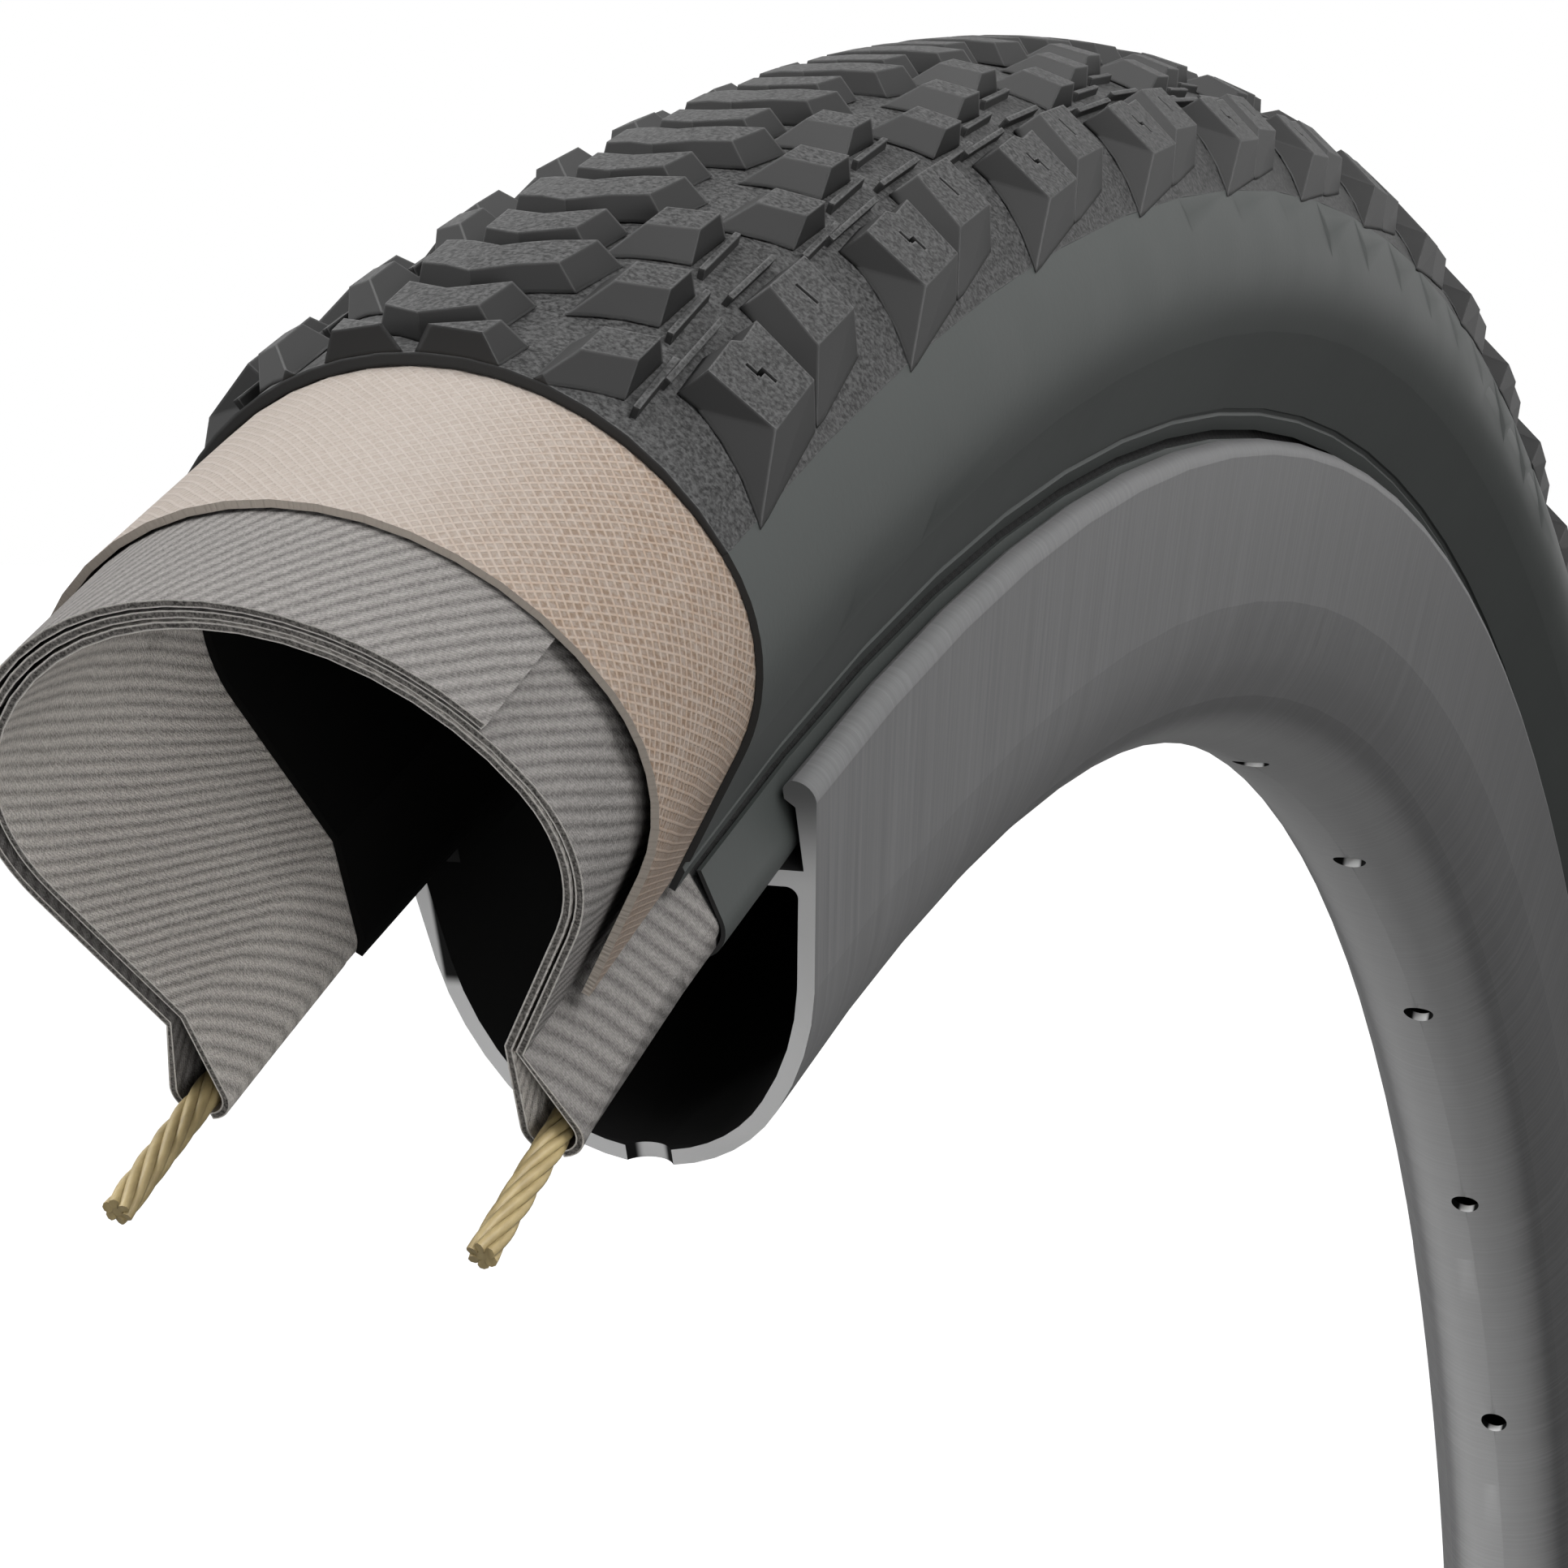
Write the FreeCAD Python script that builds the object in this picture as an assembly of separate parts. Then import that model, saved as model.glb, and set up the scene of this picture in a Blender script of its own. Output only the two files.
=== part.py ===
import FreeCAD, Part
import math
import os

# A cutaway bicycle tire on its deep rim. Millimetres, +Z up, wheel axis along Y, origin at the wheel's centre.
# Angles are in degrees round the wheel, from +X towards +Z. Sections are drawn as (radius, y).

# Rim
bead_seat_radius = 311.0
rim_half_width = 15.7
rim_depth = 23.8
rim_wall = 1.2
belly_rise = 5.3
belly_half_width = 10.0
belly_turn = 55.8
haunch_rise = 14.8
haunch_turn = 26.7
wall_lean = 0.132
hook_rise = 6.5
hook_wall = 1.5
hook_round = 1.5
hook_lip = 0.7
hook_lip_height = 1.3
lip_round = 0.6
lip_turn = 60.0
seat_shelf = 1.2
seat_width = 3.6
shelf_fillet = 0.8
spoke_count = 32
spoke_hole_radius = 2.1
spoke_hole_first = 108.54

# Casing shape
crown_centre_rise = 18.8
crown_radius = 20.5
shoulder_angle = 62.0
flank_radius = 12.0
casing_foot_rise = 7.6
casing_foot_lean = 0.88

# Layers, from outside in
tread_rubber = 0.8
side_rubber = 0.45
breaker_thick = 0.5
ply_thick = 0.5
ply_gap = 0.2
liner_thick = 0.5
chafer_thick = 0.3
layer_gap = 0.1
turnup_reach = 50.0

# Beads
bead_side_gap = 0.45
bead_seat_gap = 0.15
bead_loop_radius = 1.7
bead_core_radius = 0.9
bead_core_drop = 0.4
ply_end_angle = 172.0
liner_toe_angle = -120.0
chafer_toe_angle = 224.0

# Working sizes of the tools that cut and trim, larger than what they cut
drill_length = 12.0
drill_start = 4.0
cut_block_along = 200.0
cut_block_across = 120.0
cut_block_deep = 100.0
cut_block_foot = 80.0
fill_depth = 30.0
trim_reach = 4.0
least_knob_volume = 1.0
breaker_foot_rise = 0.6
chafer_foot_drop = 1.1
bead_line_height = 0.25
bead_line_width = 0.8
bead_line_rise = 9.0

# Cut ends: the angle at the bead and at the crown, and the plain end
rim_cut = 108.3
tire_cut_bead = 111.3
tire_cut_crown = 110.55
breaker_cut = 113.4
casing_cut_bead = 114.3
casing_cut_crown = 115.0
core_cut = 116.2
chafer_cut = 110.45
plain_end = -190.0

# Tread
pitch_count = 80
tread_first = 109.1
centre_height = 1.7
transition_height = 1.7
shoulder_height = 1.9
knob_bed = 2.2
sipe_width = 0.35
sipe_depth = 0.9

pitch = 360.0 / pitch_count
rim_inner_radius = bead_seat_radius - rim_depth
rim_hook_radius = bead_seat_radius + hook_rise
crown_centre_radius = bead_seat_radius + crown_centre_rise
base_radius = crown_radius + layer_gap / 2 + tread_rubber
side_offset = -layer_gap / 2 - side_rubber
bead_half_size = bead_loop_radius + ply_thick / 2 + layer_gap / 2 + chafer_thick
bead_centre_radius = bead_seat_radius + bead_seat_gap + bead_half_size
bead_centre_y = rim_half_width - hook_wall - bead_side_gap - bead_half_size
casing_foot_radius = bead_seat_radius + casing_foot_rise
casing_foot = (casing_foot_radius, bead_centre_y + casing_foot_lean)
bead_line_radius = bead_seat_radius + bead_line_rise
ply_under_breaker = breaker_thick + layer_gap
offset_turnup_left = ply_under_breaker + ply_thick / 2
offset_turnup_right = offset_turnup_left + ply_thick + ply_gap
offset_ply = offset_turnup_right + ply_thick + ply_gap
offset_liner = offset_ply + ply_thick / 2 + layer_gap + liner_thick / 2
axis_start = FreeCAD.Vector(0, 0, 0)
axis_way = FreeCAD.Vector(0, 1, 0)


def rad(angle):
    return math.radians(angle)


def sec(radius, y):
    """A point of the section, drawn in the plane z = 0."""
    return FreeCAD.Vector(radius, y, 0)


def polar(centre, radius, angle):
    """The section point at an angle round a centre, from the outward radius towards +Y."""
    return (centre[0] + radius * math.cos(rad(angle)), centre[1] + radius * math.sin(rad(angle)))


def arc(centre, radius, start, end):
    middle = (start + end) / 2
    points = [sec(*polar(centre, radius, a)) for a in (start, middle, end)]
    return Part.Arc(*points).toShape()


def line(a, b):
    return Part.LineSegment(sec(*a), sec(*b)).toShape()


def bent(a, b, turn):
    """An arc from a to b that turns through an angle, with its middle to the left of the straight line."""
    bulge = math.tan(rad(turn / 4)) / 2
    middle = (
        (a[0] + b[0]) / 2 - (b[1] - a[1]) * bulge,
        (a[1] + b[1]) / 2 + (b[0] - a[0]) * bulge,
    )
    return Part.Arc(sec(*a), sec(*middle), sec(*b)).toShape()


def end_points(edge):
    first = edge.valueAt(edge.FirstParameter)
    last = edge.valueAt(edge.LastParameter)
    return (first.x, first.y), (last.x, last.y)


def joined(edges):
    """Edges in order, with a straight line across each gap between them."""
    out = [edges[0]]
    for edge in edges[1:]:
        here = end_points(out[-1])[1]
        there = end_points(edge)[0]
        if math.dist(here, there) > 1e-6:
            out.append(line(here, there))
        out.append(edge)
    return Part.Wire(out)


def strip(outer, inner):
    """The face between two section lines, closed by a straight line at each end."""
    one = outer.OrderedEdges
    other = inner.OrderedEdges
    ends = [
        line(end_points(one[0])[0], end_points(other[0])[0]),
        line(end_points(one[-1])[1], end_points(other[-1])[1]),
    ]
    return Part.Face(Part.Wire(Part.__sortEdges__(outer.Edges + inner.Edges + ends)))


def mirrored(shape):
    return shape.mirror(FreeCAD.Vector(0, 0, 0), FreeCAD.Vector(0, 1, 0))


def swept(face, start, end=plain_end):
    """Turns a section face round the wheel from the start angle down to the end angle."""
    placed = face.copy()
    placed.rotate(axis_start, axis_way, -start)
    return placed.revolve(axis_start, axis_way, start - end)


def at(radius, angle):
    return FreeCAD.Vector(radius * math.cos(rad(angle)), 0, radius * math.sin(rad(angle)))


def beyond(inner_radius, inner_angle, outer_radius, outer_angle):
    """The block past a flat cut that runs along Y through two points of the wheel's plane."""
    foot = at(inner_radius, inner_angle)
    way = (at(outer_radius, outer_angle) - foot).normalize()
    across = FreeCAD.Vector(0, 1, 0)
    away = way.cross(across)
    corner = FreeCAD.Vector(-cut_block_foot, -cut_block_across / 2, 0)
    block = Part.makeBox(cut_block_along, cut_block_across, cut_block_deep, corner)
    block.Placement = FreeCAD.Placement(
        FreeCAD.Matrix(
            way.x, across.x, away.x, foot.x,
            way.y, across.y, away.y, foot.y,
            way.z, across.z, away.z, foot.z,
            0, 0, 0, 1,
        )
    )
    return block


tire_off = beyond(bead_seat_radius, tire_cut_bead, crown_centre_radius + crown_radius, tire_cut_crown)
casing_off = beyond(bead_seat_radius, casing_cut_bead, crown_centre_radius + crown_radius, casing_cut_crown)
crown_centre = (crown_centre_radius, 0.0)
flank_centre = polar(crown_centre, crown_radius - flank_radius, shoulder_angle)
bead_centre = (bead_centre_radius, bead_centre_y)


def touch_angle(centre, radius, point, side):
    """Where a line from the point touches a circle, on its outer (1) or inner (-1) side."""
    dr = point[0] - centre[0]
    dy = point[1] - centre[1]
    return math.degrees(math.atan2(dy, dr) + side * math.acos(radius / math.hypot(dr, dy)))


flank_end_angle = touch_angle(flank_centre, flank_radius, casing_foot, -1)


def crown(offset, start, end):
    return arc(crown_centre, crown_radius - offset, start, end)


def flank(offset):
    return arc(flank_centre, flank_radius - offset, shoulder_angle, flank_end_angle)


def foot(offset, radius=casing_foot_radius):
    """The straight run from the flank down to the foot, at an offset inside the casing's outer face."""
    start = polar(flank_centre, flank_radius - offset, flank_end_angle)
    run = polar(flank_centre, flank_radius, flank_end_angle)
    length = (run[0] - radius) / math.sin(rad(flank_end_angle))
    end = (
        start[0] - length * math.sin(rad(flank_end_angle)),
        start[1] + length * math.cos(rad(flank_end_angle)),
    )
    return line(start, end)


def turnup(offset, loop_radius):
    """A ply end: over the crown from the far shoulder, down the side and round under the bead."""
    down = foot(offset)
    touch = touch_angle(bead_centre, loop_radius, end_points(down)[1], 1)
    loop = arc(bead_centre, loop_radius, touch, ply_end_angle)
    return joined([crown(offset, -turnup_reach, shoulder_angle), flank(offset), down, loop])


def turnup_face(offset):
    half = ply_thick / 2
    return strip(turnup(offset - half, bead_loop_radius + half), turnup(offset + half, bead_loop_radius - half))


def half_ply(offset, loop_radius, last_angle):
    """From the crown down to the bead and round its inner side."""
    down = foot(offset)
    touch = touch_angle(bead_centre, loop_radius, end_points(down)[1], -1)
    return [crown(offset, 0.0, shoulder_angle), flank(offset), down, arc(bead_centre, loop_radius, touch, last_angle)]


def whole(edges):
    """A section line with both halves, from one bead over the crown to the other."""
    one = joined(edges)
    other = mirrored(one)
    return Part.Wire(Part.__sortEdges__(one.Edges + other.Edges))


def ply_face(offset, thickness, loop_radius, last_angle):
    """A layer from bead to bead whose ends run round the inner side of each bead."""
    half = thickness / 2
    near = whole(half_ply(offset - half, loop_radius - half, last_angle))
    far = whole(half_ply(offset + half, loop_radius + half, last_angle))
    return strip(near, far)


def keep(shape, *cutters):
    for cutter in cutters:
        shape = shape.cut(cutter)
    return shape


# Rubber: the tread's base strip, thinner towards its edges, and a sidewall with a moulded line on each side
tread_top = crown_centre_radius + base_radius
tread_edge = polar(crown_centre, crown_radius - side_offset, shoulder_angle)
tread_centre_radius = (tread_edge[0] ** 2 + tread_edge[1] ** 2 - tread_top**2) / (tread_edge[0] - tread_top) / 2
tread_centre = (tread_centre_radius, 0.0)
tread_arc_radius = tread_top - tread_centre_radius
tread_arc_end = math.degrees(math.atan2(tread_edge[1], tread_edge[0] - tread_centre_radius))


def tread_arc(start):
    return arc(tread_centre, tread_arc_radius, start, tread_arc_end)


tread_outer = Part.Wire([tread_arc(-tread_arc_end)])
tread_inner = Part.Wire([crown(-layer_gap / 2, -shoulder_angle, shoulder_angle)])
tread_face = strip(tread_outer, tread_inner)
tread_base = keep(swept(tread_face, tire_cut_bead), tire_off)


def side_section():
    outer_run = foot(side_offset)
    top, low = end_points(outer_run)
    line_at = (top[0] - bead_line_radius) / (top[0] - low[0]) * outer_run.Length
    way = ((low[0] - top[0]) / outer_run.Length, (low[1] - top[1]) / outer_run.Length)
    out = (-way[1], way[0])

    def along(distance, height):
        return (
            top[0] + way[0] * distance + out[0] * height,
            top[1] + way[1] * distance + out[1] * height,
        )

    ridge = [
        along(line_at - bead_line_width / 2, 0.0),
        along(line_at - bead_line_width / 4, bead_line_height),
        along(line_at + bead_line_width / 4, bead_line_height),
        along(line_at + bead_line_width / 2, 0.0),
    ]
    corners = [top] + ridge + [low]
    outer = [flank(side_offset)] + [line(a, b) for a, b in zip(corners, corners[1:])]
    inner = [flank(-layer_gap / 2), foot(-layer_gap / 2)]
    low_inner = end_points(inner[1])[1]
    tip = line(low, low_inner)
    close = line(end_points(inner[0])[0], end_points(outer[0])[0])
    return Part.Face(Part.Wire(Part.__sortEdges__([close] + outer + [tip] + inner)))


side_face = side_section()
sidewall_left = keep(swept(side_face, tire_cut_bead + 0.2), tire_off)
sidewall_right = keep(swept(mirrored(side_face), tire_cut_bead + 0.2), tire_off)

# Fabric: the breaker from bead to bead, then the casing ply and its two turned-up ends
breaker_foot = casing_foot_radius + breaker_foot_rise


def breaker_line(offset):
    return whole([crown(offset, 0, shoulder_angle), flank(offset), foot(offset, breaker_foot)])


breaker_face = strip(breaker_line(0.0), breaker_line(breaker_thick))
breaker = swept(breaker_face, breaker_cut)
turnup_left_face = turnup_face(offset_turnup_left)
turnup_right_face = mirrored(turnup_face(offset_turnup_right))
casing_start = casing_cut_crown + 0.3
turnup_left = keep(swept(turnup_left_face, casing_start), casing_off)
turnup_right = keep(swept(turnup_right_face, casing_start), casing_off)
casing_face = ply_face(offset_ply, ply_thick, bead_loop_radius, -ply_end_angle)
casing_ply = keep(swept(casing_face, casing_start), casing_off)
liner_loop = bead_loop_radius + ply_thick / 2 + layer_gap / 2 + liner_thick / 2
liner_face = ply_face(offset_liner, liner_thick, liner_loop, liner_toe_angle)
inner_liner = keep(swept(liner_face, tire_cut_bead + 0.2), tire_off)

# Beads: a round core in each loop, and a rubber chafer round the outside of the loop
core_centre = sec(bead_centre_radius - bead_core_drop, bead_centre_y)
core_face = Part.Face(Part.Wire([Part.makeCircle(bead_core_radius, core_centre, FreeCAD.Vector(0, 0, 1))]))
bead_core_left = swept(core_face, core_cut)
bead_core_right = swept(mirrored(core_face), core_cut)
chafer_loop = bead_loop_radius + ply_thick / 2 + layer_gap / 2 + chafer_thick / 2
chafer_top = (casing_foot[0] - chafer_foot_drop, casing_foot[1] + chafer_thick)


def chafer_line(shift):
    start = (chafer_top[0], chafer_top[1] + shift)
    touch = touch_angle(bead_centre, chafer_loop + shift, start, 1)
    loop = arc(bead_centre, chafer_loop + shift, touch, chafer_toe_angle)
    return joined([line(start, end_points(loop)[0]), loop])


chafer_face = strip(chafer_line(chafer_thick / 2), chafer_line(-chafer_thick / 2))
chafer_left = swept(chafer_face, chafer_cut)
chafer_right = swept(mirrored(chafer_face), chafer_cut)


# Rim: one deep hooked section with a seat shelf inside each wall
def rim_half():
    seat_y = rim_half_width - hook_wall
    lip_y = seat_y - hook_lip
    lip_low = rim_hook_radius - hook_lip_height
    under = bead_seat_radius - seat_shelf
    shelf_end = seat_y - seat_width
    wall_top = (rim_hook_radius - hook_round, rim_half_width)
    haunch_radius = rim_inner_radius + haunch_rise
    haunch = (haunch_radius, rim_half_width - wall_lean * (wall_top[0] - haunch_radius))
    belly = (rim_inner_radius + belly_rise, belly_half_width)
    bottom = (rim_inner_radius, 0.0)
    inner_bottom = (rim_inner_radius + rim_wall, 0.0)
    inner_belly = (
        belly[0] + rim_wall * math.cos(rad(belly_turn)),
        belly[1] - rim_wall * math.sin(rad(belly_turn)),
    )
    inner_haunch = (haunch[0] + wall_lean * rim_wall, haunch[1] - rim_wall)
    inner_top = (under - shelf_fillet, haunch[1] - rim_wall + wall_lean * (under - shelf_fillet - haunch_radius))
    shelf_root = (under, inner_top[1] - shelf_fillet)
    crest = (rim_hook_radius, seat_y)
    lip_top = (rim_hook_radius - lip_round, lip_y)
    hook_root = (lip_low - lip_round, seat_y)
    return [
        bent(bottom, belly, belly_turn),
        bent(belly, haunch, haunch_turn),
        line(haunch, wall_top),
        bent(wall_top, crest, 90.0),
        bent(crest, lip_top, lip_turn),
        line(lip_top, (lip_low, lip_y)),
        line((lip_low, lip_y), hook_root),
        line(hook_root, (bead_seat_radius, seat_y)),
        line((bead_seat_radius, seat_y), (bead_seat_radius, shelf_end)),
        line((bead_seat_radius, shelf_end), (under, shelf_end)),
        line((under, shelf_end), shelf_root),
        bent(shelf_root, inner_top, -90.0),
        line(inner_top, inner_haunch),
        bent(inner_haunch, inner_belly, -haunch_turn),
        bent(inner_belly, inner_bottom, -belly_turn),
    ]


rim_edges = rim_half()
rim_wire = Part.Wire(Part.__sortEdges__(rim_edges + [mirrored(e) for e in rim_edges]))
rim = swept(Part.Face(rim_wire), rim_cut)
spoke_step = 360.0 / spoke_count
spoke_angles = [spoke_hole_first - spoke_step * i for i in range(spoke_count)]
spoke_angles = [a for a in spoke_angles if a > plain_end]
for angle in spoke_angles:
    drill = Part.makeCylinder(
        spoke_hole_radius, drill_length, at(rim_inner_radius - drill_start, angle), at(1.0, angle)
    )
    rim = rim.cut(drill)


# Tread knobs. A knob is drawn in its own flat frame: u round the wheel, v across, w out of the base.
class Frame:
    def __init__(self, angle, tilt, side):
        out = at(1.0, angle)
        y = FreeCAD.Vector(0, side, 0)
        self.u = FreeCAD.Vector(-math.sin(rad(angle)), 0, math.cos(rad(angle)))
        self.n = out * math.cos(rad(tilt)) + y * math.sin(rad(tilt))
        self.v = y * math.cos(rad(tilt)) - out * math.sin(rad(tilt))
        self.o = out * crown_centre_radius + self.n * base_radius

    def point(self, u, v, w):
        return self.o + self.u * u + self.v * v + self.n * w


def closed(points, faces):
    """A solid from points and flat or fanned faces."""
    made = []
    for face in faces:
        loop = [points[i] for i in face]
        wire = Part.makePolygon(loop + [loop[0]])
        try:
            made.append(Part.Face(wire))
        except Part.OCCError:
            for i in range(1, len(loop) - 1):
                made.append(Part.Face(Part.makePolygon([loop[0], loop[i], loop[i + 1], loop[0]])))
    shell = Part.Shell(made)
    solid = Part.Solid(shell)
    if solid.Volume < 0:
        solid.reverse()
    return solid


def moved_line(a, b, distance):
    """The line a to b moved sideways, outwards for an outline that runs anticlockwise."""
    du = b[0] - a[0]
    dv = b[1] - a[1]
    size = math.hypot(du, dv)
    shift = (dv / size * distance, -du / size * distance)
    return (a[0] + shift[0], a[1] + shift[1]), (du, dv)


def grown(outline, distances):
    """The outline with each side moved out by its own distance."""
    count = len(outline)
    out = []
    for i in range(count):
        p, d = moved_line(outline[i - 1], outline[i], distances[i - 1])
        q, e = moved_line(outline[i], outline[(i + 1) % count], distances[i])
        cross = d[0] * e[1] - d[1] * e[0]
        if abs(cross) < 1e-9:
            out.append(q)
            continue
        t = ((q[0] - p[0]) * e[1] - (q[1] - p[1]) * e[0]) / cross
        out.append((p[0] + d[0] * t, p[1] + d[1] * t))
    return out


def turned(outline):
    """True if the outline runs anticlockwise."""
    area = 0.0
    for a, b in zip(outline, outline[1:] + outline[:1]):
        area += a[0] * b[1] - a[1] * b[0]
    return area > 0


def tapered(frame, outline, drafts, height, top):
    """A knob's block: the outline at the knob's height, widening to its drafts at the base and on down."""
    if not turned(outline):
        outline = outline[::-1]
        drafts = drafts[-2::-1] + drafts[-1:]
    low = grown(outline, [d * (1 + knob_bed / height) for d in drafts])
    high = grown(outline, [-d * top / height for d in drafts])
    count = len(outline)
    points = [frame.point(u, v, -knob_bed) for u, v in low]
    points += [frame.point(u, v, height + top) for u, v in high]
    faces = [list(range(count))[::-1], [count + i for i in range(count)]]
    for i in range(count):
        j = (i + 1) % count
        faces.append([i, j, count + j, count + i])
    return closed(points, faces)


def crown_fill(radius):
    """Everything inside a radius about the crown's centre circle, over a few degrees at angle 0."""
    edges = [
        arc(crown_centre, radius, -90.0, 90.0),
        line((crown_centre_radius, radius), (crown_centre_radius - fill_depth, radius)),
        line((crown_centre_radius - fill_depth, radius), (crown_centre_radius - fill_depth, -radius)),
        line((crown_centre_radius - fill_depth, -radius), (crown_centre_radius, -radius)),
    ]
    return swept(Part.Face(Part.Wire(edges)), trim_reach, -trim_reach)


def rubber_fill():
    """Everything inside the rubber's outer face, over a few degrees at angle 0."""
    outer = [tread_arc(0.0), flank(side_offset), foot(side_offset)]
    low = end_points(outer[2])[1]
    edges = outer + [line(low, (low[0], 0.0))]
    both = edges + [mirrored(e) for e in edges]
    return swept(Part.Face(Part.Wire(Part.__sortEdges__(both))), trim_reach, -trim_reach)


base_fill = rubber_fill()
top_fill = crown_fill(base_radius + centre_height)


def centre_knob(outline, drafts):
    block = tapered(Frame(0.0, 0.0, 1), outline, drafts, centre_height, 1.2)
    return block.common(top_fill).cut(base_fill)


def transition_knob(tilt, side):
    outline = [(0.0, -1.45), (-1.95, 1.45), (-5.3, 1.45), (-3.4, -1.45)]
    drafts = [1.4, 0.4, 0.4, 1.3]
    return tapered(Frame(0.0, tilt, side), outline, drafts, transition_height, 0.0).cut(base_fill)


def shoulder_knob(tilt, side, tops, bases, sipe):
    """A shoulder knob whose outer corner runs down the sidewall to a point."""
    frame = Frame(0.0, tilt, side)
    count = len(tops)
    deeper = 1.0
    points = [frame.point(u, v, shoulder_height) for u, v in tops]
    for (u, v), (bu, bv, bw) in zip(tops, bases):
        stretch = 1.0 + deeper / (shoulder_height - bw)
        points.append(frame.point(u + (bu - u) * stretch, v + (bv - v) * stretch, bw - deeper))
    faces = [list(range(count)), [count + i for i in range(count)][::-1]]
    for i in range(count):
        j = (i + 1) % count
        faces.append([j, i, count + i, count + j])
    knob = closed(points, faces).cut(base_fill)
    for u, v, long_u, long_v in sipe:
        corners = [(u, v), (u + long_u, v), (u + long_u, v + long_v), (u, v + long_v)]
        slot = [frame.point(a, b, shoulder_height - sipe_depth) for a, b in corners]
        floor = Part.Face(Part.makePolygon(slot + [slot[0]]))
        knob = knob.cut(floor.extrude(frame.n * (sipe_depth + 1.0)))
    return knob


def row(knob, first):
    """Copies of a knob round the wheel, one each pitch, trimmed by the two cut ends."""
    out = []
    count = int((first - plain_end) / pitch) + 2
    for i in range(-1, count):
        angle = first - i * pitch
        if angle > tire_cut_bead + trim_reach / 2:
            continue
        copy = knob.copy()
        copy.rotate(axis_start, axis_way, -angle)
        if angle > tire_cut_crown - trim_reach:
            copy = copy.cut(tire_off)
        if angle < plain_end + trim_reach:
            copy = copy.cut(plain_off)
        out += [s for s in copy.Solids if s.Volume > least_knob_volume]
    return out


plain_off = beyond(bead_seat_radius, plain_end, crown_centre_radius + crown_radius, plain_end)
plain_off.rotate(at(bead_seat_radius, plain_end), axis_way, 180.0)

large_outline = [(0.0, 0.0), (-2.7, 4.35), (-6.9, 4.8), (-4.4, 0.0), (-6.9, -4.8), (-2.7, -4.35)]
small_outline = [(0.0, 0.0), (-1.7, 2.95), (-5.5, 3.25), (-3.8, 0.0), (-5.5, -3.25), (-1.7, -2.95)]
centre_drafts = [0.35, 0.7, 0.35, 0.35, 0.7, 0.35]
large_knob = centre_knob(large_outline, centre_drafts)
small_knob = centre_knob(small_outline, centre_drafts)
centre_large = row(large_knob, tread_first) + row(large_knob, tread_first - pitch / 2)
centre_small = row(small_knob, tread_first - pitch / 4) + row(small_knob, tread_first - 3 * pitch / 4)

transition_tilts = [29.0, 24.3, 19.6]
transition_starts = [1.11, -0.38, -1.87]

big_tops = [(2.0, -1.7), (1.8, 3.5), (-5.4, 3.1), (-6.0, -1.8), (-3.1, -1.5), (-2.3, -2.0)]
big_bases = [
    (2.6, -2.1, 0.0),
    (5.4, 6.5, -1.25),
    (-5.9, 5.1, -0.85),
    (-6.5, -2.2, 0.0),
    (-3.1, -2.0, 0.0),
    (-2.3, -2.5, 0.0),
]
small_tops = [(0.9, -1.9), (2.6, 2.8), (-4.1, 2.6), (-5.1, -1.9)]
small_bases = [(1.5, -2.4, 0.0), (4.8, 5.8, -1.0), (-4.6, 4.6, -0.7), (-5.6, -2.4, 0.0)]
z_sipe = [
    (-1.6, -0.4, sipe_width, 1.0),
    (-2.4, 0.4, 1.0, sipe_width),
    (-2.4, 0.4, sipe_width, 1.2),
]
i_sipe = [(-1.6, -0.9, sipe_width, 1.8)]
big_tilt = 45.0
small_tilt = 42.5
big_start = -0.04
small_start = -1.94


def side_rows(side):
    transition = []
    for tilt, start in zip(transition_tilts, transition_starts):
        transition += row(transition_knob(tilt, side), tread_first + start)
    big = row(shoulder_knob(big_tilt, side, big_tops, big_bases, z_sipe), tread_first + big_start)
    small = row(shoulder_knob(small_tilt, side, small_tops, small_bases, i_sipe), tread_first + small_start)
    return transition, big, small


transition_left, big_left, small_left = side_rows(1)
transition_right, big_right, small_right = side_rows(-1)

nodes = {
    "rim": rim,
    "tread_base": tread_base,
    "sidewall_left": sidewall_left,
    "sidewall_right": sidewall_right,
    "breaker": breaker,
    "turnup_left": turnup_left,
    "turnup_right": turnup_right,
    "casing_ply": casing_ply,
    "inner_liner": inner_liner,
    "bead_core_left": bead_core_left,
    "bead_core_right": bead_core_right,
    "chafer_left": chafer_left,
    "chafer_right": chafer_right,
    "centre_knobs_large": Part.makeCompound(centre_large),
    "centre_knobs_small": Part.makeCompound(centre_small),
    "transition_knobs_left": Part.makeCompound(transition_left),
    "transition_knobs_right": Part.makeCompound(transition_right),
    "shoulder_knobs_big_left": Part.makeCompound(big_left),
    "shoulder_knobs_big_right": Part.makeCompound(big_right),
    "shoulder_knobs_small_left": Part.makeCompound(small_left),
    "shoulder_knobs_small_right": Part.makeCompound(small_right),
}
os.makedirs("parts", exist_ok=True)
for name, shape in nodes.items():
    print(name, len(shape.Solids), round(shape.Volume), shape.isValid())
    shape.exportStep(os.path.join("parts", name + ".step"))
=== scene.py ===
import math

import bmesh
import bpy
from mathutils import Matrix, Vector


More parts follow.
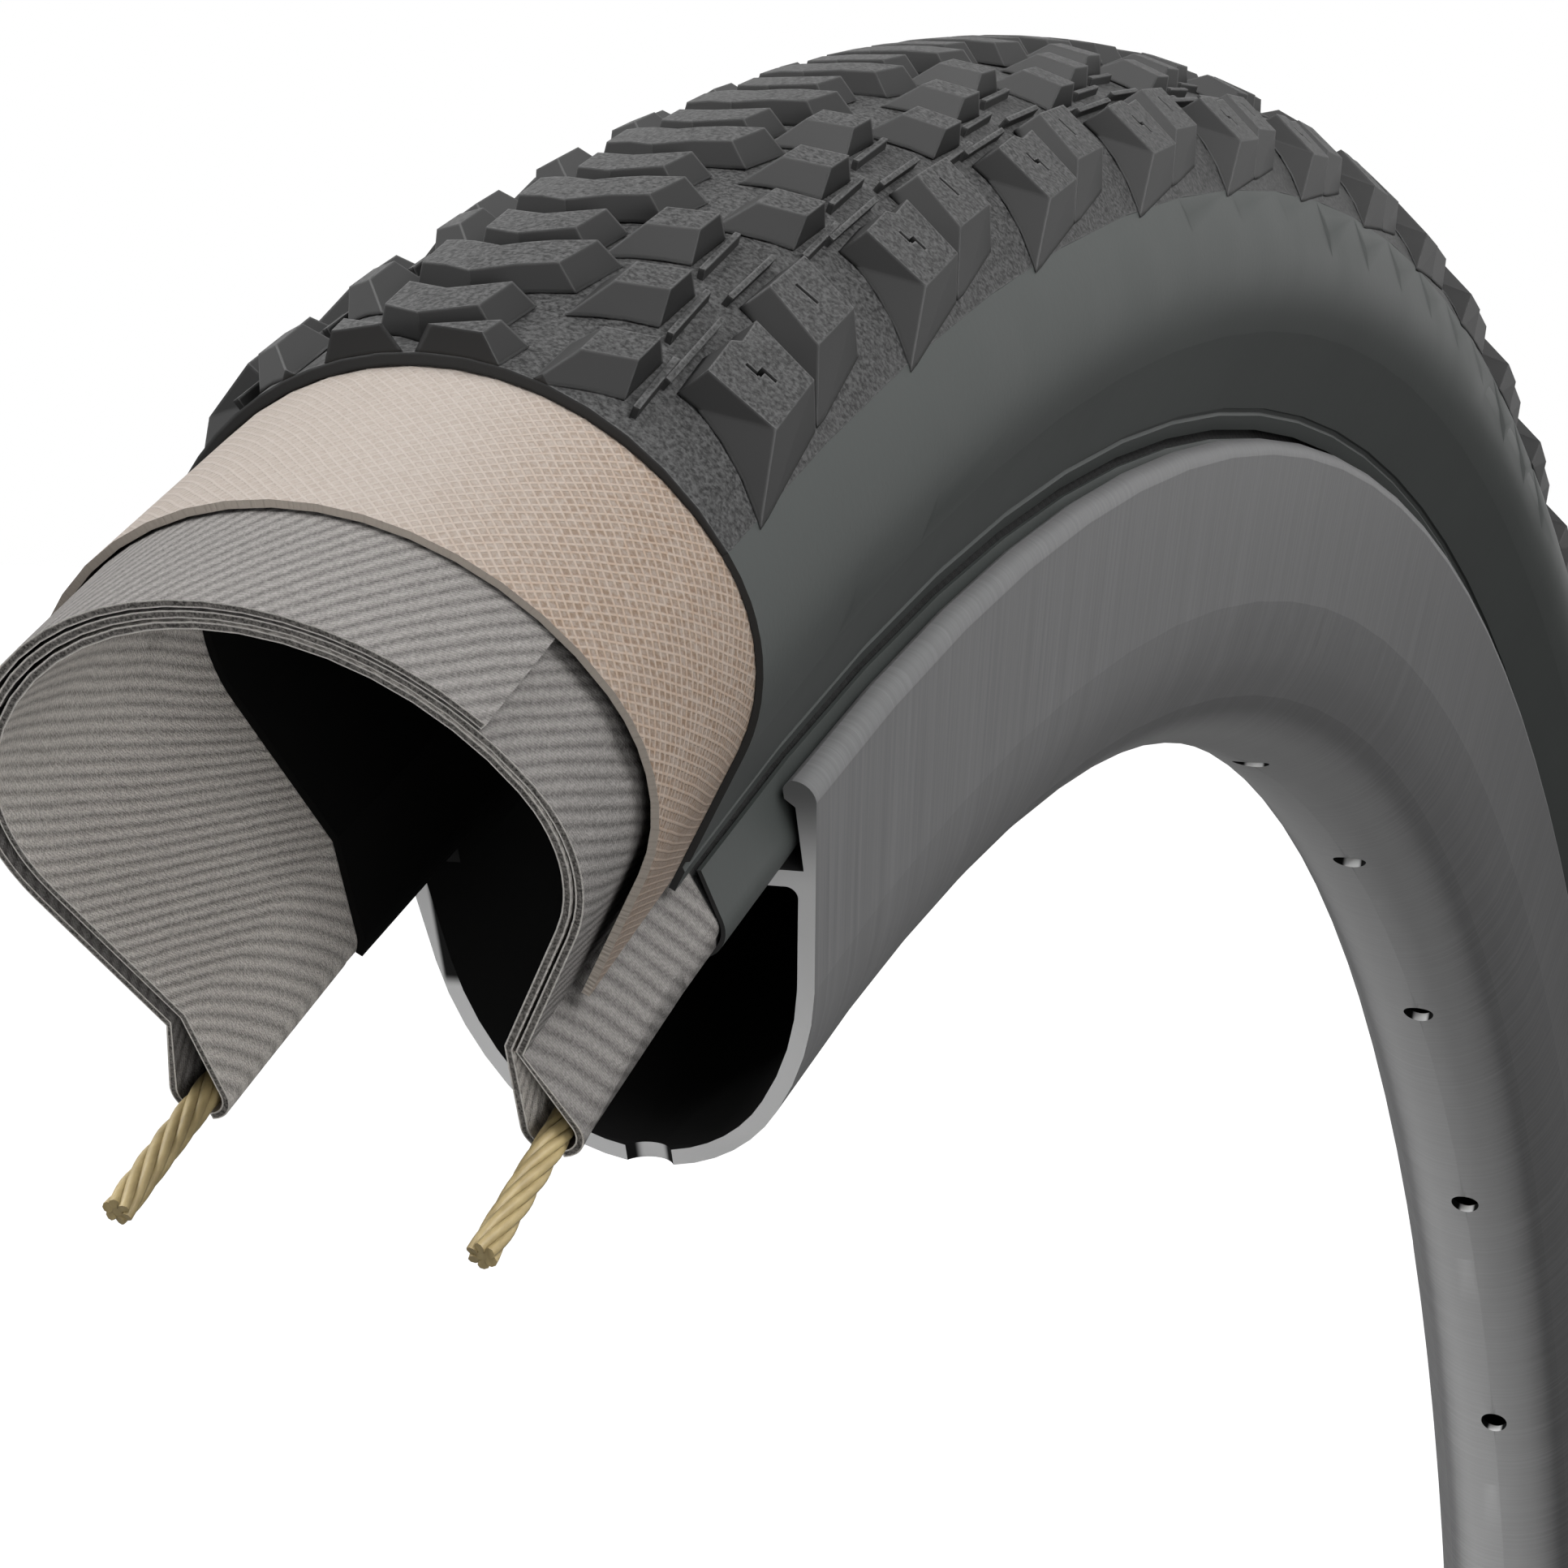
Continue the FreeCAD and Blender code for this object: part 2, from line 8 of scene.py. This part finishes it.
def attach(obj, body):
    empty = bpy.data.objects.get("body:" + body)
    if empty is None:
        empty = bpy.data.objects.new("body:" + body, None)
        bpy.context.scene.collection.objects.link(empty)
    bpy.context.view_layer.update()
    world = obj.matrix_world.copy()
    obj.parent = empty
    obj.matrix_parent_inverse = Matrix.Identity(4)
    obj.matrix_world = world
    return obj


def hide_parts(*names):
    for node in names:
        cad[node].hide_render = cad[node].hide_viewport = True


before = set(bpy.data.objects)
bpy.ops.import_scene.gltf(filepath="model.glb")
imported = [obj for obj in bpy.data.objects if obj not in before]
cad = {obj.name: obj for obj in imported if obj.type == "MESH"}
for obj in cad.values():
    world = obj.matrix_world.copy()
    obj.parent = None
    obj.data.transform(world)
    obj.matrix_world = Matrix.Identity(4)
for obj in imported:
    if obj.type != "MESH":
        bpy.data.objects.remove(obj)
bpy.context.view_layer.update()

mm = 0.001

# The wheel, in millimetres and degrees. Angles run round the wheel from +X towards +Z.
crown_centre_radius = 329.8
base_radius = 21.35
tread_first = 109.1
knob_pitch = 4.5
last_angle = -189.0

# The radii that turn an angle round the wheel, or over the section, into millimetres of cloth
round_radius = 330.0
over_radius = 19.0

# The bead cores: six strands laid round a seventh, in short steps where they show
core_radius = 313.0
core_y = 11.5
core_start = 116.2
strand_radius = 0.34
strand_circle = 0.6
strand_twist_mm = 14.0
outer_strands = 6
shown_points = 32
shown_step = 0.12
shown_arc = 3.72
hidden_step = 3.0

# Cloth, in millimetres and degrees. The ply is bare between two soft steps round the wheel.
cord_lean = 32.0
cord_pitch = 0.85
stitch_slant = 1.4
stitch_pitch = 0.3
weave_pitch = 0.62
bare_from = (636.1, 636.3)
bare_to = (700.0, 690.0)

# Soft steps over the rim, in millimetres from the axis or from the wheel's middle
bed_radii = (291.5, 288.2)
# The under, shelf, belly, hook and wall steps below mark where the rim's colour is darkened as
# painted shade.
under_radii = (296.0, 298.0)
under_sides = (14.0, 13.6)
shelf_radii = (300.0, 301.0)
shelf_inner = (4.0, 5.0)
shelf_outer = (13.6, 13.2)
belly_radii = (304.0, 300.0)
hook_shade_radii = (309.0, 317.0)
wall_radii = (316.0, 315.0)

# Thin ribs on the tread base. Each has a turn round the wheel and a tilt over the section, in
# degrees, and two ends, in millimetres round the wheel and across it.
rib_height = 0.35
rib_width = 0.4
rib_sink = 0.9
transition_ends = ((0.6, 2.9), (-6.4, 2.5))
ribs = (
    (1.11, 29.0, *transition_ends),
    (-0.38, 24.3, *transition_ends),
    (-1.87, 19.6, *transition_ends),
    (-0.04, 45.0, (3.2, -3.0), (-6.2, -3.4)),
    (-1.94, 42.5, (2.4, -3.2), (-5.4, -3.4)),
)

# The room, in metres
floor_height = -0.354
floor_reach = 6.0
daylight_on_part = 0.17

# The camera, in metres and radians
camera_place = (-0.297863, -0.093259, 0.334737)
camera_yaw = 1.188863
camera_fall = 0.155734
camera_lens_mm = 78.53

# The sockets that a colour mix node uses
mix_share, mix_first, mix_second, mix_result = 0, 6, 7, 2


class Tree:
    """Adds nodes to a shader tree and links them."""

    def __init__(self, tree):
        self.tree = tree

    def feed(self, node, inputs):
        """Links or sets a node's inputs."""
        for key, value in inputs.items():
            if isinstance(value, bpy.types.NodeSocket):
                self.tree.links.new(value, node.inputs[key])
            else:
                node.inputs[key].default_value = value

    def add(self, kind, inputs=None, **settings):
        node = self.tree.nodes.new(kind)
        for name, value in settings.items():
            setattr(node, name, value)
        self.feed(node, inputs or {})
        return node

    def maths(self, operation, *values):
        node = self.add("ShaderNodeMath", dict(enumerate(values)), operation=operation)
        return node.outputs[0]

    def plus(self, a, b):
        return self.maths("ADD", a, b)

    def minus(self, a, b):
        return self.maths("SUBTRACT", a, b)

    def times(self, a, b):
        return self.maths("MULTIPLY", a, b)

    def over(self, a, b):
        return self.maths("DIVIDE", a, b)

    def wave(self, place, length):
        """A wave between -1 and 1 that repeats every length."""
        return self.maths("COSINE", self.times(self.over(place, length), math.tau))

    def unit(self, vector):
        node = self.add("ShaderNodeVectorMath", {0: vector}, operation="NORMALIZE")
        return node.outputs["Vector"]

    def dot(self, a, b):
        node = self.add("ShaderNodeVectorMath", {0: a, 1: b}, operation="DOT_PRODUCT")
        return node.outputs["Value"]

    def split(self, vector):
        return self.add("ShaderNodeSeparateXYZ", {0: vector}).outputs

    def join(self, x, y, z):
        return self.add("ShaderNodeCombineXYZ", {0: x, 1: y, 2: z}).outputs[0]

    def smooth(self, value, low, high, start=0.0, end=1.0):
        """A soft step: start where the value is low, end where it is high."""
        node = self.add(
            "ShaderNodeMapRange",
            {"Value": value, "From Min": low, "From Max": high, "To Min": start, "To Max": end},
            interpolation_type="SMOOTHSTEP",
        )
        return node.outputs[0]

    def noise(self, vector, scale, detail=2.0, roughness=0.5):
        node = self.add(
            "ShaderNodeTexNoise",
            {"Vector": vector, "Scale": scale, "Detail": detail, "Roughness": roughness},
        )
        return node.outputs[0]

    def mix(self, share, first, second):
        """The first colour where the share is 0, and the second where it is 1."""
        first, second = ((*c, 1.0) if isinstance(c, tuple) else c for c in (first, second))
        inputs = {mix_share: share, mix_first: first, mix_second: second}
        return self.add("ShaderNodeMix", inputs, data_type="RGBA").outputs[mix_result]

    def use(self, group, **inputs):
        return self.add("ShaderNodeGroup", inputs, node_tree=group).outputs

    def rounded(self, reach):
        """The normal, as if edges were rounded by this many metres."""
        return self.add("ShaderNodeBevel", {"Radius": reach}, samples=6).outputs[0]


def grey(value):
    return (value, value, value)


def group(name, inputs, outputs):
    """A new node group: its tree, its inputs and a function that fills its outputs."""
    tree = bpy.data.node_groups.new(name, "ShaderNodeTree")
    kinds = {"value": "NodeSocketFloat", "vector": "NodeSocketVector"}
    for socket, kind in inputs.items():
        tree.interface.new_socket(name=socket, in_out="INPUT", socket_type=kinds[kind])
    for socket, kind in outputs.items():
        tree.interface.new_socket(name=socket, in_out="OUTPUT", socket_type=kinds[kind])
    t = Tree(tree)
    start = t.add("NodeGroupInput")
    end = t.add("NodeGroupOutput")

    def fill(**values):
        t.feed(end, values)

    return t, start.outputs, fill


def wheel_place_group():
    """Where a point is: the way round the wheel and over the section, and the radius, in mm."""
    t, given, fill = group(
        "Wheel place",
        {"Position": "vector"},
        {
            "Round": "value",
            "Over": "value",
            "Radius": "value",
            "Side": "value",
            "Outward": "vector",
        },
    )
    scaled = t.add(
        "ShaderNodeVectorMath", {0: given["Position"], "Scale": 1.0 / mm}, operation="SCALE"
    )
    x, y, z = t.split(scaled.outputs["Vector"])
    radius = t.maths("SQRT", t.plus(t.times(x, x), t.times(z, z)))
    over = t.maths("ARCTAN2", y, t.minus(radius, crown_centre_radius))
    share = t.minus(1.0, t.over(crown_centre_radius, radius))
    fill(
        Round=t.times(t.maths("ARCTAN2", z, x), round_radius),
        Over=t.times(over, over_radius),
        Radius=radius,
        Side=y,
        Outward=t.unit(t.join(t.times(x, share), y, t.times(z, share))),
    )
    return t.tree


def cut_face_group():
    """1 on faces that are cut across the wheel, and 0 elsewhere."""
    t, given, fill = group(
        "Cut face", {"Position": "vector", "Normal": "vector"}, {"Cut": "value"}
    )
    x, _, z = t.split(given["Position"])
    facing = t.dot(t.unit(t.join(t.times(z, -1.0), 0.0, x)), given["Normal"])
    fill(Cut=t.smooth(t.maths("ABSOLUTE", facing), 0.8, 0.95))
    return t.tree


def cord_ribs_group():
    """Parallel cords that lean across the ply, with fine stitches along them."""
    t, given, fill = group(
        "Cord ribs",
        {
            "Position": "vector",
            "Round": "value",
            "Over": "value",
            "Lean": "value",
            "Pitch": "value",
        },
        {"Ridge": "value", "Stitch": "value"},
    )
    sine = math.sin(math.radians(cord_lean))
    cosine = math.cos(math.radians(cord_lean))
    wander = t.times(t.minus(t.noise(given["Position"], 90.0), 0.5), 0.5)
    lean_over = t.times(given["Over"], given["Lean"])
    across = t.plus(t.plus(t.times(given["Round"], sine), wander), t.times(lean_over, cosine))
    along = t.minus(t.times(given["Round"], cosine), t.times(lean_over, sine))
    ridge = t.plus(t.times(t.wave(across, given["Pitch"]), 0.5), 0.5)
    slant = t.plus(along, t.times(across, stitch_slant))
    stitch = t.plus(t.times(t.wave(slant, stitch_pitch), 0.5), 0.5)
    fill(Ridge=t.maths("POWER", ridge, 0.7), Stitch=stitch)
    return t.tree


def square_weave_group():
    """Two crossing sets of fine threads with small squares between them."""
    t, given, fill = group(
        "Square weave",
        {"Position": "vector", "Round": "value", "Over": "value", "Pitch": "value"},
        {"Net": "value", "Grain": "value"},
    )
    bend = t.times(t.minus(t.noise(given["Position"], 120.0), 0.5), 0.5)
    threads = []
    for share_round, share_over in ((0.8, 0.75), (0.7, -0.9)):
        line = t.plus(
            t.plus(t.times(given["Round"], share_round), bend),
            t.times(given["Over"], share_over),
        )
        threads.append(t.smooth(t.wave(line, given["Pitch"]), 0.2, 1.0))
    fill(Net=t.maths("MAXIMUM", *threads), Grain=t.noise(given["Position"], 2600.0, 2.0, 0.7))
    return t.tree


def grain_group():
    """Fine moulded grain, and slow clouds over it."""
    t, given, fill = group(
        "Grain", {"Position": "vector", "Scale": "value"}, {"Grain": "value", "Cloud": "value"}
    )
    fill(
        Grain=t.noise(given["Position"], given["Scale"], 2.0, 0.65),
        Cloud=t.noise(given["Position"], 60.0, 2.0),
    )
    return t.tree


wheel_place = wheel_place_group()
cut_face = cut_face_group()
cord_ribs = cord_ribs_group()
square_weave = square_weave_group()
rubber_grain = grain_group()


def material(name):
    """A new material: itself, its tree, the place, the normal and its shader."""
    made = bpy.data.materials.new(name)
    made.use_nodes = True
    made.node_tree.nodes.clear()
    t = Tree(made.node_tree)
    place = t.add("ShaderNodeTexCoord").outputs["Object"]
    normal = t.add("ShaderNodeNewGeometry").outputs["Normal"]
    shader = t.add("ShaderNodeBsdfPrincipled")
    t.add("ShaderNodeOutputMaterial", {0: shader.outputs[0]})
    return made, t, place, normal, shader


def bump(t, height, distance, **more):
    return t.add("ShaderNodeBump", {"Height": height, "Distance": distance, **more}).outputs[0]


def fabric(name, lean, light, dark):
    """Ribbed ply cloth with speckled cut edges and a painted highlight along their rims, rubbered
    black where the tire is whole.
    """
    made, t, place, normal, shader = material(name)
    where = t.use(wheel_place, Position=place)
    cords = t.use(
        cord_ribs,
        Position=place,
        Round=where["Round"],
        Over=where["Over"],
        Lean=lean,
        Pitch=cord_pitch,
    )
    cut = t.use(cut_face, Position=place, Normal=normal)["Cut"]
    fibre = t.smooth(t.noise(place, 5200.0, 2.0, 0.75), 0.3, 0.7)
    # Painted highlight: a pale line along the rounded rims of the cut faces, as if catching the
    # light.
    highlight_line = t.smooth(t.dot(t.rounded(0.2 * mm), normal), 0.998, 0.975)
    share = t.plus(
        t.times(cords["Ridge"], 0.42), t.plus(t.times(fibre, 0.38), t.times(cords["Stitch"], 0.2))
    )
    speckled = t.mix(fibre, (0.03, 0.028, 0.026), (0.2, 0.188, 0.175))
    highlit_edge = t.mix(highlight_line, speckled, (0.70, 0.67, 0.63))
    bare_colour = t.mix(cut, t.mix(share, dark, light), highlit_edge)
    bare = t.times(t.smooth(where["Round"], *bare_from), t.smooth(where["Round"], *bare_to))
    t.feed(
        shader,
        {
            "Base Color": t.mix(bare, grey(0.012), bare_colour),
            "Roughness": 0.8,
            "Specular IOR Level": 0.2,
            "Normal": bump(t, t.plus(cords["Ridge"], t.times(fibre, 0.6)), 0.07 * mm),
        },
    )
    return made


def breaker_cloth():
    """Fine square weave, browner towards the right side and pale where it is cut."""
    made, t, place, normal, shader = material("breaker cloth")
    where = t.use(wheel_place, Position=place)
    weave = t.use(
        square_weave,
        Position=place,
        Round=where["Round"],
        Over=where["Over"],
        Pitch=weave_pitch,
    )
    cut = t.use(cut_face, Position=place, Normal=normal)["Cut"]
    right = t.smooth(where["Side"], -4.0, -17.0)
    ground = t.mix(right, (0.205, 0.176, 0.153), (0.125, 0.086, 0.06))
    thread = t.mix(right, (0.235, 0.207, 0.184), (0.23, 0.172, 0.13))
    fine = t.smooth(weave["Grain"], 0.3, 0.7, 0.0, 0.45)
    grainy = t.mix(fine, t.mix(weave["Net"], ground, thread), (0.27, 0.245, 0.222))
    t.feed(
        shader,
        {
            "Base Color": t.mix(cut, grainy, (0.36, 0.32, 0.28)),
            "Roughness": 0.85,
            "Specular IOR Level": 0.2,
            "Normal": bump(t, weave["Net"], 0.04 * mm),
        },
    )
    return made


def tread_rubber():
    """Black rubber: grainy where it faces outward, plain on its walls, with a painted highlight
    on its rounded edges.
    """
    made, t, place, normal, shader = material("tread rubber")
    where = t.use(wheel_place, Position=place)
    grain = t.use(rubber_grain, Position=place, Scale=3200.0)
    cut = t.use(cut_face, Position=place, Normal=normal)["Cut"]
    soft = t.rounded(0.3 * mm)
    # Painted highlight: rounded edges are mixed towards pale grey, as if catching the light.
    highlit_edge = t.smooth(t.dot(soft, normal), 0.985, 0.86)
    rough_part = t.smooth(t.dot(where["Outward"], normal), 0.9, 0.95)
    grainy = t.mix(t.smooth(grain["Grain"], 0.25, 0.75), grey(0.003), grey(0.052))
    plain = t.mix(grain["Cloud"], grey(0.009), grey(0.017))
    whole = t.mix(t.times(highlit_edge, 0.4), t.mix(rough_part, plain, grainy), grey(0.14))
    t.feed(
        shader,
        {
            "Base Color": t.mix(cut, whole, grey(0.022)),
            "Roughness": t.smooth(rough_part, 0.0, 1.0, 0.5, 0.6),
            "Specular IOR Level": 0.18,
            "Normal": bump(t, grain["Grain"], 0.06 * mm, Normal=soft, Strength=rough_part),
        },
    )
    return made


def side_rubber():
    made, t, place, normal, shader = material("side rubber")
    grain = t.use(rubber_grain, Position=place, Scale=1500.0)
    cut = t.use(cut_face, Position=place, Normal=normal)["Cut"]
    whole = t.mix(grain["Cloud"], (0.024, 0.0265, 0.0255), (0.034, 0.0375, 0.036))
    t.feed(
        shader,
        {
            "Base Color": t.mix(cut, whole, grey(0.02)),
            "Roughness": t.smooth(grain["Cloud"], 0.3, 0.7, 0.5, 0.56),
            "Specular IOR Level": 0.25,
            "Normal": bump(t, grain["Grain"], 0.01 * mm),
        },
    )
    return made


def liner_rubber():
    made, t, place, _, shader = material("liner rubber")
    cloud = t.use(rubber_grain, Position=place)["Cloud"]
    t.feed(
        shader,
        {
            "Base Color": t.mix(cloud, grey(0.002), grey(0.004)),
            "Roughness": 0.9,
            "Specular IOR Level": 0.1,
        },
    )
    return made


def rim_metal():
    """Dark satin metal with fine brushing across the rim and pale where cut, with painted shade:
    near black on its inner faces, darker on the cut near the hooks, black on the left shelf's
    cut.
    """
    made, t, place, normal, shader = material("rim metal")
    where = t.use(wheel_place, Position=place)
    cut = t.use(cut_face, Position=place, Normal=normal)["Cut"]
    radius, side = where["Radius"], where["Side"]
    bed = t.smooth(radius, *bed_radii)

    brush = t.join(where["Round"], t.times(where["Over"], 0.03), 0.0)
    streak = t.noise(brush, 1.6, 4.0, 0.65)
    strength = t.plus(t.times(bed, 0.5), 0.22)
    mark = t.times(t.smooth(streak, 0.35, 0.75), strength)
    colour = t.mix(mark, (0.088, 0.088, 0.089), (0.21, 0.21, 0.212))
    wide = t.smooth(t.noise(brush, 0.12, 2.0), 0.4, 0.7)
    colour = t.mix(t.times(wide, 0.2), colour, grey(0.1))
    # Painted reflection: the bed is given a lighter colour, standing in for the bright
    # surroundings its metal reflects.
    colour = t.mix(t.times(bed, 0.7), colour, grey(0.34))

    x, _, z = t.split(place)
    outward = t.dot(t.unit(t.join(x, 0.0, z)), normal)
    side_way = t.times(t.split(normal)[1], t.maths("SIGN", side))
    # Painted shade: the rim's faces inside the tyre (inside the belly, behind the hook walls and
    # under the shelves) are coloured near black where shade falls.
    inside_belly = t.times(t.smooth(radius, *belly_radii), t.smooth(outward, -0.02, 0.05))
    inside_wall = t.times(t.smooth(side_way, 0.05, -0.05), t.smooth(radius, *wall_radii))
    under = t.times(t.smooth(radius, *under_radii), t.smooth(outward, -0.6, -0.8))
    under = t.times(under, t.smooth(t.maths("ABSOLUTE", side), *under_sides))
    inside = t.maths("MINIMUM", t.plus(t.plus(inside_belly, inside_wall), under), 1.0)
    colour = t.mix(inside, colour, grey(0.004))

    # Painted shade: the pale cut face turns dark towards the hooks, as if shaded by the tyre.
    cut_colour = t.mix(t.smooth(radius, *hook_shade_radii), grey(0.50), grey(0.10))
    # Painted shade: the cut end of the left shelf is coloured black, as if in shadow.
    shelf = t.times(t.smooth(side, *shelf_inner), t.smooth(side, *shelf_outer))
    shelf = t.times(shelf, t.smooth(radius, *shelf_radii))
    cut_colour = t.mix(shelf, cut_colour, grey(0.004))
    t.feed(
        shader,
        {
            "Base Color": t.mix(cut, colour, cut_colour),
            "Roughness": t.plus(t.times(inside, 0.4), 0.42),
            "Metallic": t.smooth(bed, 0.0, 1.0, 0.0, 0.3),
            "Specular IOR Level": 0.12,
            "Normal": bump(t, streak, 0.006 * mm),
        },
    )
    return made


def bead_cord():
    made, t, place, _, shader = material("bead cord")
    stretched = t.add(
        "ShaderNodeVectorMath", {0: place, 1: (900.0, 2600.0, 900.0)}, operation="MULTIPLY"
    )
    fibre = t.noise(stretched.outputs["Vector"], 1.0, 2.0)
    t.feed(
        shader,
        {
            "Base Color": t.mix(fibre, (0.15, 0.11, 0.045), (0.36, 0.285, 0.14)),
            "Roughness": 0.55,
            "Normal": bump(t, fibre, 0.02 * mm),
        },
    )
    return made


tread = tread_rubber()
side = side_rubber()
# Painted light: the casing ply and its turn-ups are one cloth; the copy inside is given a much
# lighter colour to stand in for light falling inside the casing.
inner_cloth = fabric("ply cloth inside", 1.0, (0.74, 0.70, 0.655), (0.21, 0.195, 0.18))
outer_cloth = fabric("ply cloth outside", -1.0, (0.20, 0.19, 0.182), (0.045, 0.042, 0.04))
cord_look = bead_cord()
looks = {
    "rim": rim_metal(),
    "sidewall_left": side,
    "sidewall_right": side,
    "breaker": breaker_cloth(),
    "turnup_left": outer_cloth,
    "turnup_right": outer_cloth,
    "casing_ply": inner_cloth,
    "inner_liner": liner_rubber(),
    "chafer_left": side,
    "chafer_right": side,
    "bead_core_left": cord_look,
    "bead_core_right": cord_look,
}
for name, piece in cad.items():
    piece.data.materials.clear()
    piece.data.materials.append(looks.get(name, tread))


def in_scene(name, data):
    thing = bpy.data.objects.new(name, data)
    bpy.context.scene.collection.objects.link(thing)
    return thing


def at(radius, angle, y=0.0):
    a = math.radians(angle)
    return Vector((radius * math.cos(a), y, radius * math.sin(a))) * mm


def added(name, mesh_or_curve, look):
    piece = in_scene(name, mesh_or_curve)
    mesh_or_curve.materials.append(look)
    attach(piece, "root")
    return piece


def strand_angles():
    """Close steps where the cord shows, then longer ones inside the casing."""
    angles = [core_start - shown_step * i for i in range(shown_points)]
    while angles[-1] > last_angle - 1.0:
        angles.append(max(angles[-1] - hidden_step, last_angle - 1.0))
    return angles


def bead_strands(name, side_way, replaced):
    """A bead core as strands laid together, twisted as far as they show."""
    curve = bpy.data.curves.new(name, "CURVE")
    curve.dimensions = "3D"
    curve.bevel_depth = strand_radius * mm
    curve.bevel_resolution = 2
    curve.use_fill_caps = True
    angles = strand_angles()
    for strand in range(outer_strands + 1):
        reach = strand_circle if strand < outer_strands else 0.0
        spline = curve.splines.new("POLY")
        spline.points.add(len(angles) - 1)
        for point, angle in zip(spline.points, angles):
            shown_mm = min(core_start - angle, shown_arc) * math.pi * core_radius / 180
            turn = math.radians(shown_mm / strand_twist_mm * 360 + strand * 360 / outer_strands)
            radius = core_radius + reach * math.cos(turn)
            y = side_way * (core_y + reach * math.sin(turn))
            point.co = (*at(radius, angle, y), 1.0)
    piece = added(name, curve, cord_look)
    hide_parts(replaced)


bead_strands("bead_strands_left", 1, "bead_core_left")
bead_strands("bead_strands_right", -1, "bead_core_right")


def rib_bar(bm, angle, tilt, side_way, start, end):
    """One bar from start to end, each (u round the wheel, v across), on the tread base."""
    sine, cosine = math.sin(math.radians(tilt)), math.cos(math.radians(tilt))
    out = at(1.0, angle).normalized()
    y = Vector((0, side_way, 0))
    u = Vector((-math.sin(math.radians(angle)), 0, math.cos(math.radians(angle))))
    n = out * cosine + y * sine
    v = y * cosine - out * sine
    origin = out * crown_centre_radius * mm + n * base_radius * mm
    a = origin + (u * start[0] + v * start[1]) * mm
    b = origin + (u * end[0] + v * end[1]) * mm
    way = (b - a).normalized()
    across = n.cross(way).normalized()
    box = bmesh.ops.create_cube(bm, size=1.0)["verts"]
    size = Matrix.Diagonal(((b - a).length, rib_width * mm, (rib_height + rib_sink) * mm, 1.0))
    turn = Matrix((way, across, n)).transposed().to_4x4()
    turn.translation = (a + b) / 2 + n * (rib_height - rib_sink) / 2 * mm
    bmesh.ops.transform(bm, matrix=turn @ size, verts=box)


def tread_ribs(name, side_way):
    """The thin ribs moulded beside the transition and shoulder knobs."""
    bm = bmesh.new()
    angle = tread_first
    while angle > last_angle + 1.0:
        for turn, tilt, start, end in ribs:
            rib_bar(bm, angle + turn, tilt, side_way, start, end)
        angle -= knob_pitch
    mesh = bpy.data.meshes.new(name)
    bm.to_mesh(mesh)
    bm.free()
    added(name, mesh, tread)


tread_ribs("tread_ribs_left", 1)
tread_ribs("tread_ribs_right", -1)

# Floor: white to the camera and light grey to the part
floor_mesh = bpy.data.meshes.new("floor")
bm = bmesh.new()
bmesh.ops.create_grid(bm, x_segments=1, y_segments=1, size=floor_reach)
bmesh.ops.translate(bm, vec=(0.0, 0.0, floor_height), verts=bm.verts)
bm.to_mesh(floor_mesh)
bm.free()
floor = in_scene("floor", floor_mesh)
floor_look, t, _, _, shader = material("floor white")
seen = t.add("ShaderNodeLightPath").outputs["Is Camera Ray"]
t.feed(
    shader,
    {
        "Base Color": (0.6, 0.6, 0.6, 1.0),
        "Roughness": 1.0,
        "Emission Color": (1.0, 1.0, 1.0, 1.0),
        "Emission Strength": seen,
    },
)
floor_mesh.materials.append(floor_look)

# Surroundings: white to the camera and dimmer as a light
world = bpy.data.worlds.new("studio")
bpy.context.scene.world = world
world.use_nodes = True
t = Tree(world.node_tree)
lighting = t.add("ShaderNodeLightPath").outputs["Is Diffuse Ray"]
t.feed(
    world.node_tree.nodes["Background"],
    {
        "Color": (1.0, 1.0, 1.0, 1.0),
        "Strength": t.smooth(lighting, 0.0, 1.0, 1.0, daylight_on_part),
    },
)


def area(name, place, target, size, power, spread):
    """A square lamp at a place, turned to a target. The spread is in degrees."""
    light = bpy.data.lights.new(name, "AREA")
    light.shape = "RECTANGLE"
    light.size = light.size_y = size
    light.energy = power
    light.spread = math.radians(spread)
    lamp = in_scene(name, light)
    lamp.location = place
    lamp.rotation_euler = (Vector(target) - Vector(place)).to_track_quat("-Z", "Y").to_euler()


area("key", (-0.3, 0.4, 0.95), (-0.08, 0.0, 0.33), 0.5, 4.6, 120)
area("front", (-0.15, -0.4, 0.72), (-0.04, 0.0, 0.32), 0.4, 1.15, 75)
area("low", (-0.6, -0.5, 0.25), (-0.16, 0.0, 0.3), 0.4, 0.3, 50)
area("back", (-0.35, 0.6, 0.3), (0.26, 0.0, 0.17), 0.4, 0.6, 40)

camera_data = bpy.data.cameras.new("camera")
camera_data.sensor_width = 36.0
camera_data.lens = camera_lens_mm
camera_data.clip_start = 0.01
camera_data.dof.use_dof = False
camera = in_scene("camera", camera_data)
level = Vector((math.sin(camera_yaw), math.cos(camera_yaw), 0.0)) * math.cos(camera_fall)
look = level - Vector((0.0, 0.0, math.sin(camera_fall)))
right = Vector((math.cos(camera_yaw), -math.sin(camera_yaw), 0.0))
placed = Matrix((right, right.cross(look), -look)).transposed().to_4x4()
placed.translation = Vector(camera_place)
camera.matrix_world = placed
bpy.context.scene.camera = camera
bpy.context.scene.view_settings.view_transform = "Standard"
